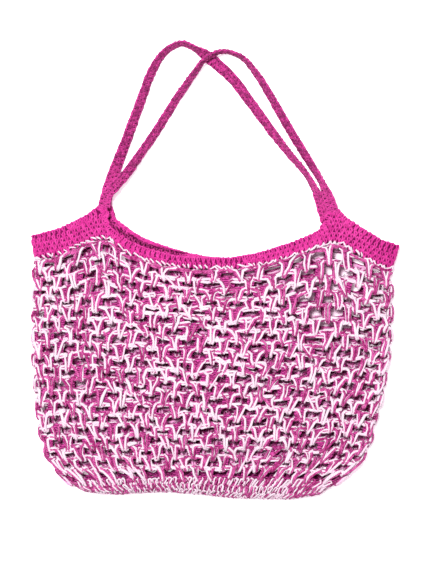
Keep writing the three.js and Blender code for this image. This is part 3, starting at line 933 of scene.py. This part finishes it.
def one_yarn(surface, rows, steps):
    line, _, _, (_, shade) = lay(surface, rows, steps)
    return line, shade, np.ones(len(line))


def edge_chain(surface, length, up, out=EDGE_OUT):
    """The heads of a last row lie along its edge as one smooth line."""
    run = np.arange(0, length, STITCH_WIDE / 2)
    rows = np.stack([
        run,
        up + CHANCE.normal(0, EDGE_UP_STRAY, len(run)),
        CHANCE.normal(out, EDGE_OUT_STRAY, len(run)),
        0 * run,
        CHANCE.random(len(run)),
    ], axis=1)
    return one_yarn(surface, rows, [2] * (len(run) - 1))


print("a plain stitch passes", len(PLAIN_STITCH), "places")

# %% [markdown]
# ## The band round the mouth
# The band is worked on from the net's last round. It rises to a peak under each end of a handle and
# scoops down between them, front, back and at the sides. Its surface starts at the net's edge. Where the
# back's band shows above the front's, it curls up behind it, with a dark hollow between.

# %% The band's surface
CURL = (12.0, -117.0, 4.0)  # height of the back's curl, and where along x it begins and ends
CURL_FROM, CURL_OVER = 3.4, 2.2  # mm above the front's edge at which it begins, and over which it rises
CURL_EASE = (14.0, 45.0)  # mm over which it grows at its left end, and fades at its right


def on_band(around):
    """Wall, and share of the way from fold to fold, of a place round the band."""
    side, cloth = side_and_share(around)
    return side, share_across(RIM[0], RIM[1], RIM[2] / 2, cloth)


def band_edges(share, side):
    """The band's lower and upper edge at a share of the way from fold to fold."""
    x = RIM[0] + share * (RIM[1] - RIM[0])
    top = np.where(side > 0, np.interp(x, *zip(*RIM_FRONT)), np.interp(x, *zip(*RIM_BACK)))
    return net_top(share, side)[1], top


def back_curl(place, side):
    """How far the back's band is curled up at a place."""
    high, first, last = CURL
    x, y = place[..., 0], place[..., 1] - SHIFT
    above = np.clip((y - np.interp(x, *zip(*RIM_FRONT)) - CURL_FROM) / CURL_OVER, 0, 1)
    along = np.clip((x - first) / CURL_EASE[0], 0, 1) * np.clip((last - x) / CURL_EASE[1], 0, 1)
    return np.where(side < 0, high * along * above * above * (3 - 2 * above), 0)


def band_surface(around, up, out):
    """up is in mm above the net's edge."""
    side, share = on_band(around)
    bottom, top = band_edges(share, side)
    t = np.clip(up / (top - bottom), 0, 1)
    left, right, depth = (low + t * (high - low) for low, high in zip(ROUNDS[-1][1:], RIM))
    place = wall(left, right, depth / 2, share, side, bottom + up, out)
    place[..., 2] += back_curl(place, side)
    return place


BAND_ROUND = 2 * (RIM[1] - RIM[0] - RIM[2] + math.pi / 2 * RIM[2])  # length of the cloth round the mouth
print("the mouth is", round(BAND_ROUND), "mm round")

# %% [markdown]
# Rows lie on the net's edge and end where the scoop cuts them. One more row is worked all along the
# mouth, which hides the steps, and its heads make the edge. Of the back, the inner face shows above the
# front's edge, as two more lines of loops.

# %% Rows of the band
BAND_STITCHES = round(BAND_ROUND / STITCH_WIDE)
BAND_ROWS = 8  # more than there are at a peak
ROW_ROOM = 1.85  # rows that have to fit between a row's foot and the edge
BAND_FOOT = 1.0  # from the net's edge to the first row's foot, mm
EDGE_HIGH = STITCH_HIGH + BAND_YARN + 0.3  # from the foot of the edge row to the edge, mm
EDGE_PROUD = 0.5  # the edge row lies this much further out, mm
HEADS_UP = 0.2  # its heads lie this much above its stitches, mm
EDGE_REACH = 5  # mm to either side of a place, to find which way the edge runs
INNER_LOOPS, INNER_OUT = (5.2, 3.4), -1.1  # the loops of the back's inner face: up and out, mm


def band_rows():
    side, share = on_band((np.arange(BAND_STITCHES + 1) + 0.5) / BAND_STITCHES)
    bottom, top = band_edges(share, side)
    lines = []
    for row in range(BAND_ROWS):
        for first, last in runs(top - bottom > (row + ROW_ROOM) * STITCH_HIGH):
            foot = row * STITCH_HIGH + BAND_FOOT
            rows, steps = plain_row(first, last, 1 / BAND_STITCHES, foot, STITCH_HIGH)
            rows[:, 0] += 0.5 * (row % 2) / BAND_STITCHES
            lines.append(one_yarn(band_surface, rows, steps))
    return lines


def at_run(run, length, table):
    """A table's columns, read at each run along a line whose points lie at length."""
    return np.stack([np.interp(run, length, column) for column in table.T], axis=-1)


def mouth_edge(side):
    """A surface along the mouth's edge: mm along it from the left fold, mm up towards the edge, mm out."""
    edge = np.array(RIM_FRONT if side > 0 else RIM_BACK, float)
    length = run_along(edge)

    def surface(run, up, out):
        way = unit(at_run(run + EDGE_REACH, length, edge) - at_run(run - EDGE_REACH, length, edge))
        upwards = np.stack([-way[..., 1], way[..., 0]], axis=-1)
        place = at_run(run, length, edge) + upwards * (up - EDGE_HIGH)[..., None]
        share = (place[..., 0] - RIM[0]) / (RIM[1] - RIM[0])
        place = wall(RIM[0], RIM[1], RIM[2] / 2, np.clip(share, 0, 1), side, place[..., 1], out)
        place[..., 2] += back_curl(place, side)
        return place

    return surface, length[-1]


def edge_row(side):
    surface, length = mouth_edge(side)
    rows, steps = plain_row(0, round(length / STITCH_WIDE), STITCH_WIDE, 0.0, STITCH_HIGH)
    rows[:, 2] += EDGE_PROUD
    inside = [edge_chain(surface, length, up, INNER_OUT) for up in INNER_LOOPS] if side < 0 else []
    return [one_yarn(surface, rows, steps), edge_chain(surface, length, STITCH_HIGH + HEADS_UP), *inside]


print("the band has", BAND_STITCHES, "stitches to a round")

# %% [markdown]
# Where the band is worked into the net, the net's pale yarn comes up over the band's first row in short
# dashes. Near the right peak it mostly lies along the edge instead. At the two folds, where the band turns
# away from the lamp, its yarn is painted duller, as painted shade.

# %% Join and band
# along in stitches, up in mm from the net's edge, out in mm, steps to the next
JOIN_DASH = (
    (0.0, 2.6, -0.6, 1),
    (0.12, 3.6, 1.9, 2),
    (0.62, 1.5, 2.8, 2),
    (0.75, 0.4, 1.0, 1),
    (0.9, 0.6, -1.0, 1),
)
JOIN_EDGE = (
    (0.0, 0.8, 1.8, 1),
    (0.25, 1.6, 2.7, 2),
    (0.5, 3.6, 2.3, 2),
    (0.72, 1.4, 2.8, 1),
    (0.9, 0.6, 2.0, 1),
)
JOIN_WIDE, JOIN_YARN = 6.1, 0.95  # width of a stitch and radius of the yarn, mm
JOIN_SLANT, JOIN_STRAY = (0.95, 0.4), 0.7  # mean and spread of a dash's length, and how far it strays up, mm
ON_EDGE = (0.3, 0.49, 0.8, 0.1)  # part of the round that is mostly along the edge, how often, and elsewhere
FOLD_FROM, FOLD_OVER = 184.0, 16.0  # mm from the middle to where the band turns under, and over how many
FOLD_PAINTED_SHADE = (0.6, 2.2)  # painted shade on its yarn at the left fold and at the right one


def join_row():
    count = round(BAND_ROUND / JOIN_WIDE)
    first, last, often, seldom = ON_EDGE
    rows, steps = [], []
    for stitch in range(count):
        shade = CHANCE.random()
        slant = CHANCE.normal(*JOIN_SLANT)
        up = CHANCE.normal(0, JOIN_STRAY)
        on_edge = CHANCE.random() < (often if first < stitch / count < last else seldom)
        for along, rise, out, step in JOIN_EDGE if on_edge else JOIN_DASH:
            rows.append(((stitch + along * slant) / count, rise + up, out, 0.0, shade))
            steps.append(step)
    return one_yarn(band_surface, np.array(rows), steps)


def paint_fold_shade(line):
    """A line of the band, with painted shade where the band turns away from the lamp."""
    points, shade, thick = line
    turned = np.clip((np.abs(points[:, 0]) - FOLD_FROM) / FOLD_OVER, 0, 1)
    # painted shade: the shade is lowered near the folds
    return points, shade - turned * np.where(points[:, 0] < 0, *FOLD_PAINTED_SHADE), thick


JOIN = spin("rim_join", [join_row()], JOIN_YARN, SHOWN_SIDES, PALE)
BAND_LINES = [paint_fold_shade(line) for line in band_rows() + edge_row(1) + edge_row(-1)]
BAND_PIECE = spin("rim_yarn", BAND_LINES, BAND_YARN, SHOWN_SIDES, BAND)

# %% [markdown]
# ## Grounds of the plain crochet
# As in the net, a thin closed sheet in the middle of the cloth keeps light from showing between strands.
# Its dark magenta is partly the yarn's own colour and partly painted shade.

# %% A thin closed sheet


def two_faced(name, surface, around, up, closed, finish):
    """A closed thin sheet over a grid of places, closed on itself along the first way if asked."""
    count, rows = around.shape
    points = np.concatenate([surface(around, up, out).reshape(-1, 3) for out in (GROUND, -GROUND)])
    back = count * rows

    def at(i, j, far=0):
        return far + (i % count) * rows + j

    faces = []
    for i in range(count if closed else count - 1):
        for j in range(rows - 1):
            faces.append((at(i, j), at(i + 1, j), at(i + 1, j + 1), at(i, j + 1)))
            faces.append((at(i, j, back), at(i, j + 1, back), at(i + 1, j + 1, back), at(i + 1, j, back)))
        faces.append((at(i, 0), at(i, 0, back), at(i + 1, 0, back), at(i + 1, 0)))
        top = rows - 1
        faces.append((at(i, top), at(i + 1, top), at(i + 1, top, back), at(i, top, back)))
    if not closed:
        for j in range(rows - 1):
            last = count - 1
            faces.append((at(0, j), at(0, j + 1), at(0, j + 1, back), at(0, j, back)))
            faces.append((at(last, j), at(last, j, back), at(last, j + 1, back), at(last, j + 1)))
    return plain_mesh(name, points, faces, finish)


BAND_GRID = (300, 7)  # places round the band's ground, and up it
GROUND_FOOT, GROUND_SHORT = 0.5, 1.8  # mm that it starts above the net's edge, and is lower than the band


def band_ground():
    round_it, up_it = BAND_GRID
    around, part = np.meshgrid(np.arange(round_it) / round_it, np.linspace(0, 1, up_it), indexing="ij")
    side, share = on_band(around)
    bottom, top = band_edges(share, side)
    up = GROUND_FOOT + part * (top - bottom - GROUND_SHORT)
    return two_faced("rim_ground", band_surface, around, up, True, BAND_GROUND_PAINTED_SHADE)


BAND_GROUND = band_ground()

# %% [markdown]
# ## The base
# The base is an oval worked from its middle outwards. Here it lies folded along that middle, so a strip
# of it shows under the net. Both yarns are held together in every stitch, and whichever is on top shows
# as a short slanted dash.

# %% Base
FOLD_HIGH = 6.0  # height of the fold along the base's middle, mm
BASE_ROWS = 4
BASE_WIDE = 5.6  # width of a stitch, mm
BASE_YARN = 1.15  # radius, mm
BASE_TWIST = (0.6, 0.4)  # mean and spread of the two yarns' turn round each other from place to place
BASE_SWING = 2.0  # radians that the turn goes to either side
BASE_TURN = -0.15  # on the whole the magenta yarn lies this many quarter turns above the pale one
BASE_LEAN = 0.3  # stitches by which a stitch's head leans
BASE_SUNK = 0.25  # rows by which a head sinks between its neighbours
BASE_REACH = (0.02, 0.95)  # shares of the way up between which its yarn stays
BASE_GRID = (120, 7)  # places round its ground, and up it
BASE_FOOT = 0.04  # share of the way up at which its ground starts
THIN = 1e-6  # the least radius, at the fold, mm


def base_surface(around, up, out):
    """up runs from 0 at the fold along the middle to 1 at the net's edge."""
    side, cloth = side_and_share(around)
    angle = (1 - up) * math.pi / 2
    down, open_ = np.sin(angle), np.cos(angle)
    _, left, right, depth = ROUNDS[0]
    left = left + down * (SPINE[0] - left)
    right = right + down * (SPINE[1] - right)
    radius = np.maximum(depth / 2 * open_, THIN)
    share = share_across(left, right, radius, cloth)
    top = net_bottom(share)
    spine = smooth(SPINE_EDGE, 1, SPINE[0] + share * (SPINE[1] - SPINE[0])) - out
    flat = wall(left, right, radius, share, side, top + down * (spine - top), 0.0)
    rise = np.clip((flat[..., 2] - CLOTH / 2 - radius) / radius, -1, 1)
    sideways = np.where(share < 0.5, -1, 1) * np.sqrt(1 - rise**2)
    middle = (depth / 2 + CLOTH / 2) * open_ + FOLD_HIGH * down**2
    z = middle + rise * (depth / 2 + out) * open_
    return np.stack([flat[..., 0] + sideways * out, flat[..., 1], z], axis=-1)


def base_lines():
    count = round(2 * (ROUNDS[0][2] - ROUNDS[0][1]) / BASE_WIDE)
    lines = {"pale": [], "magenta": []}
    for row in range(BASE_ROWS):
        lean = BASE_LEAN if row % 2 else -BASE_LEAN
        rows, steps = plain_row(0, count, 1 / count, row / BASE_ROWS, 1 / BASE_ROWS, lean, BASE_SUNK)
        rows[:, 1] = np.clip(rows[:, 1], *BASE_REACH)
        turned = np.cumsum(CHANCE.normal(*BASE_TWIST, len(rows)))
        rows[:, 3] = BASE_TURN * QUARTER + BASE_SWING * np.sin(turned)
        line, beside, above, (turn, shade) = lay(base_surface, rows, steps)
        for yarn, strand in zip(lines, two_strands(line, beside, above, turn, BASE_YARN)):
            lines[yarn].append((strand, shade, np.ones(len(shade))))
    return lines


def base_ground():
    round_it, up_it = BASE_GRID
    places = np.meshgrid(np.arange(round_it) / round_it, np.linspace(BASE_FOOT, 1, up_it), indexing="ij")
    return two_faced("base_ground", base_surface, *places, True, BAND_GROUND_PAINTED_SHADE)


BASE = [
    spin(f"base_{yarn}", lines, BASE_YARN, HIDDEN_SIDES, PALE if yarn == "pale" else MAGENTA)
    for yarn, lines in base_lines().items()
]
BASE_GROUND = base_ground()

# %% [markdown]
# ## The handles
# Each handle is a narrow strap of three rows that run along it. The straps start flat on the band's
# peaks, then lean up onto their inner edge as they bend, and the front one crosses over the back one
# near the top. Tables give the middle line, its height above where the strap would rest on the floor,
# and how far it leans.

# %% The straps' routes
STRAP_WIDE, STRAP_THICK = 13.5, 4.5  # mm
STRAP_RAISED = 0.5  # the yarn stands this much proud of the plain strap, mm
STRAP_POINTS = 600  # at which a route is worked out
CLOSE = 1e-4  # the least gap between two points of a route
# x, y, height above resting, lean in degrees
FRONT_HANDLE = (
    (-122, 65, 16.4, 0), (-119.6, 78, 16.0, 28), (-110.0, 90, 13.0, 34), (-100, 101, 9.0, 42),
    (-82.5, 126, 2.8, 50), (-61.5, 157, 0, 52), (-43.5, 186, 0.6, 56), (-24, 213.4, 4.6, 64),
    (-11.5, 229, 9.4, 76), (1.5, 236.6, 9.4, 82), (15, 238.2, 5.0, 84), (31.5, 231.5, 1.4, 76),
    (46.5, 214, 0, 64), (62, 189.5, 0, 58), (80.5, 157, 0, 54), (99, 126, 2.4, 54), (116, 97, 9.0, 66),
    (124.5, 77, 15.6, 32), (130.25, 58.5, 16.4, 0),
)
BACK_HANDLE = (
    (-121.75, 65, 0, 0), (-120, 82, 0, 0), (-111.5, 107, 0, 14), (-98.5, 141, 0, 38), (-81, 189, 0, 46),
    (-68.5, 221, 0, 52), (-54, 240.5, 0, 66), (-37, 248.5, 0, 76), (-20.5, 242, 0, 70), (-5, 231.5, 0, 18),
    (19.5, 209.5, 0, 36), (39, 184, 0, 42), (61, 154, 0, 50), (83, 125.5, 0, 64), (100.5, 104.5, 0, 70),
    (109.5, 89.5, 0, 66), (116.4, 75, 0, 36), (123.2, 54.5, 0, 0),
)


def even_curve(points, count):
    """count places on a curve through points that doesn't overshoot where they lie close together."""
    points = np.asarray(points, float)
    ends = np.concatenate([[2 * points[0] - points[1]], points, [2 * points[-1] - points[-2]]])
    gap = np.maximum(np.sqrt(np.linalg.norm(np.diff(ends, axis=0), axis=1)), CLOSE)
    place = np.linspace(0, len(points) - 1, count)
    i = np.minimum(place.astype(int), len(points) - 2)
    t = (place - i)[:, None]
    p0, p1, p2, p3 = (ends[i + k] for k in range(4))
    g0, g1, g2 = (gap[i + k][:, None] for k in range(3))
    pull_in = g1 * ((p1 - p0) / g0 - (p2 - p0) / (g0 + g1) + (p2 - p1) / g1)
    pull_out = g1 * ((p2 - p1) / g1 - (p3 - p1) / (g1 + g2) + (p3 - p2) / g2)
    return bent(t, p1, p2, pull_in, pull_out)


def strap(route):
    """A surface along a handle: mm along it, mm across it towards its outer edge, mm out of its face."""
    route = np.array(route, float)
    middle = even_curve(route[:, :3], STRAP_POINTS)
    lean = np.radians(even_curve(route[:, 3:], STRAP_POINTS))
    way = np.gradient(middle[:, :2], axis=0)
    way = unit(np.concatenate([[(0, 1)], way[1:-1], [(0, -1)]]))
    inwards = np.stack([way[:, 1], -way[:, 0]], axis=1)
    across = np.concatenate([-inwards * np.cos(lean), np.sin(lean)], axis=1)
    face = np.concatenate([inwards * np.sin(lean), np.cos(lean)], axis=1)
    corners = [a * across[:, 2] + b * face[:, 2] for a in (-STRAP_WIDE / 2, STRAP_WIDE / 2)
               for b in (-STRAP_THICK / 2, STRAP_THICK / 2)]
    middle[:, 2] = np.maximum(middle[:, 2], 0) - np.min(corners, axis=0) + STRAP_RAISED
    middle[:, 1] += SHIFT
    length = run_along(middle)

    def surface(run, sideways, out):
        return (at_run(run, length, middle)
                + unit(at_run(run, length, across)) * np.asarray(sideways)[..., None]
                + unit(at_run(run, length, face)) * (np.asarray(out) + 0 * sideways)[..., None])

    return surface, length[-1]


print("handles in mm", [round(strap(route)[1]) for route in (FRONT_HANDLE, BACK_HANDLE)])

# %% [markdown]
# The rows are laid along the strap as they are on the band, with a line of heads at either edge. The
# straps' flat ends face the lamp, and their yarn is painted lighter there, as painted light.

# %% Handles
STRAP_ROWS, STRAP_ROW_HIGH = 3, 3.5  # mm
STRAP_STITCH = 4.8  # width of a stitch, mm
STRAP_YARN = 1.15  # radius, mm
STRAP_EDGE = STRAP_WIDE / 2 - STRAP_YARN
STRAP_FLAT = 0.75  # its stitches stand out this much of what the band's do
STRAP_GROUND = 5.2  # half the width of its ground, mm
STRAP_GRID = (140, 4)  # places along its ground, and across it
PAINTED_END_LIGHT, END_FADE = 1.3, 55.0  # painted light on the ends, and over how many mm it fades


def paint_end_light(line, length):
    points, shade, thick = line
    share = np.linspace(0, length, len(shade))
    from_end = np.minimum(share, length - share)
    # painted light: the shade is raised near each end
    return points, shade + PAINTED_END_LIGHT * np.clip(1 - from_end / END_FADE, 0, 1), thick


def handle(name, route):
    surface, length = strap(route)
    count = round(length / STRAP_STITCH)
    lines = [edge_chain(surface, length, edge) for edge in (-STRAP_EDGE, STRAP_EDGE)]
    for row in range(STRAP_ROWS):
        low = (row - STRAP_ROWS / 2) * STRAP_ROW_HIGH
        rows, steps = plain_row(0, count, length / count, low, STRAP_ROW_HIGH)
        rows[:, 0] = np.minimum(rows[:, 0] + 0.5 * (row % 2) * length / count, length)
        rows[:, 1] = np.clip(rows[:, 1], -STRAP_EDGE, STRAP_EDGE)
        rows[:, 2] *= STRAP_FLAT
        lines.append(one_yarn(surface, rows, steps))
    lines = [paint_end_light(line, length) for line in lines]
    yarn = spin(f"{name}_yarn", lines, STRAP_YARN, SHOWN_SIDES, STRAP_SHADED)
    along, across = STRAP_GRID
    places = np.meshgrid(
        np.linspace(0, length, along), np.linspace(-STRAP_GROUND, STRAP_GROUND, across), indexing="ij")
    ground = two_faced(f"{name}_ground", surface, *places, False, STRAP_GROUND_PAINTED_SHADE)
    return ground, yarn, length


FRONT = handle("front_handle", FRONT_HANDLE)
BACK = handle("back_handle", BACK_HANDLE)

# %% [markdown]
# ## What each piece is
# The grounds are the sheets, with the yarn on them. Each stands for its solid in the frame, and
# everything rides on the one body, because cloth has no joints. The flat size is what each piece would
# measure pressed out on a table.


def declare(ground, node, yarns, flat):
    for piece in (ground, *yarns):
        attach(piece, "root")
    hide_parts(node)
    print(node, "cut flat", flat)


declare(NET_GROUND, "net_body", NET, (0.80, 0.25))
declare(BASE_GROUND, "base", BASE, (0.29, 0.036))
declare(BAND_GROUND, "rim_band", [BAND_PIECE, JOIN], (0.81, 0.05))
for node, (ground, yarn, length) in (("front_handle", FRONT), ("back_handle", BACK)):
    declare(ground, node, [yarn], (0.0135, length * MM))

# %% [markdown]
# ## Floor and light
# The bag was photographed on plain white. A pale floor that glows a little, as a light table does, an
# even white surround and one soft lamp, nearly overhead and a little to the upper left, give its soft
# shading. A lamp so high also reaches into the gaps, so that they are deep magenta and not black. The
# floor and its glow are tinted pink, painted bounce light that shows only where the floor is dim. Under
# the bag the floor is seen only through the gaps, in the bag's shade, and there it is painted darker and
# pinker and glows less, as painted shade.

# %% Floor and light
# where the floor gets painted shade under the bag: axis, from and to in mm, and the step at each
UNDER_NET = ((0, -178.0, 160.0, 12.0), (1, -204.0, 8.0, 12.0))
UNDER_PEAK = ((0, 86.0, 160.0, 12.0), (1, -204.0, 32.0, 12.0))
# floor colour and glow tinted pink as painted bounce light, and their painted shade under the bag
GLOW, GLOW_PAINTED_SHADE = (1, 0.84, 0.93, 1), (0.15, 0.06, 0.11, 1)
FLOOR, FLOOR_PAINTED_SHADE = (0.9, 0.82, 0.87, 1), (0.8, 0.62, 0.73, 1)
GLOW_STRENGTH, FLOOR_ROUGH, FLOOR_SHINE = 0.45, 0.9, 0.1
FLOOR_REACH = 6.0  # from its middle to each side, m
FLOOR_LOW = -0.2  # height, just clear of the bag, mm
LAMP_PLACE, LAMP_AIM, LAMP_SIZE = (-0.31, 0.39, 2.0), (0, 0, 0), 0.4  # m
LAMP_POWER = 82.5  # W
SURROUND = 0.68  # strength of the white all round


def pale_floor():
    mesh = bpy.data.meshes.new("floor")
    corners = [(x * FLOOR_REACH, y * FLOOR_REACH, FLOOR_LOW * MM)
               for x, y in ((-1, -1), (1, -1), (1, 1), (-1, 1))]
    mesh.from_pydata(corners, [], [(0, 1, 2, 3)])
    finish, skin, start = new_finish("pale_floor")
    place = start.node("ShaderNodeTexCoord", {}, {}, "Object")
    # painted shade: the floor is darker and pinker and glows less under the bag
    painted_shade_mask = start.maths("MAXIMUM", within(start, place, UNDER_NET), within(start, place, UNDER_PEAK))
    start.feed(skin, {
        "Base Color": painted_shade_mask.blend(FLOOR, FLOOR_PAINTED_SHADE),
        "Emission Color": painted_shade_mask.blend(GLOW, GLOW_PAINTED_SHADE),
        "Emission Strength": GLOW_STRENGTH,
        "Roughness": FLOOR_ROUGH,
        "Specular IOR Level": FLOOR_SHINE,
    })
    mesh.materials.append(finish)
    put_in_scene("floor", mesh)


def soft_lamp():
    lamp = put_in_scene("key", bpy.data.lights.new("key", "AREA"))
    lamp.data.size = LAMP_SIZE
    lamp.data.energy = LAMP_POWER
    lamp.location = LAMP_PLACE
    lamp.rotation_euler = (Vector(LAMP_AIM) - Vector(LAMP_PLACE)).to_track_quat("-Z", "Y").to_euler()


def surround():
    world = bpy.data.worlds.new("white_surround")
    world.use_nodes = True
    sky = next(n for n in world.node_tree.nodes if n.type == "BACKGROUND")
    sky.inputs["Color"].default_value = (1, 1, 1, 1)
    sky.inputs["Strength"].default_value = SURROUND
    bpy.context.scene.world = world


pale_floor()
soft_lamp()
surround()
bpy.context.scene.view_settings.view_transform = "Standard"
print("lamp of", LAMP_POWER, "W at", LAMP_PLACE)

# %% [markdown]
# ## Triangles in all
# Cloth may stand a little proud of its solid. The triangles of all pieces are added up.

# %% Triangles in all
print("triangles in all", sum(MADE.values()))
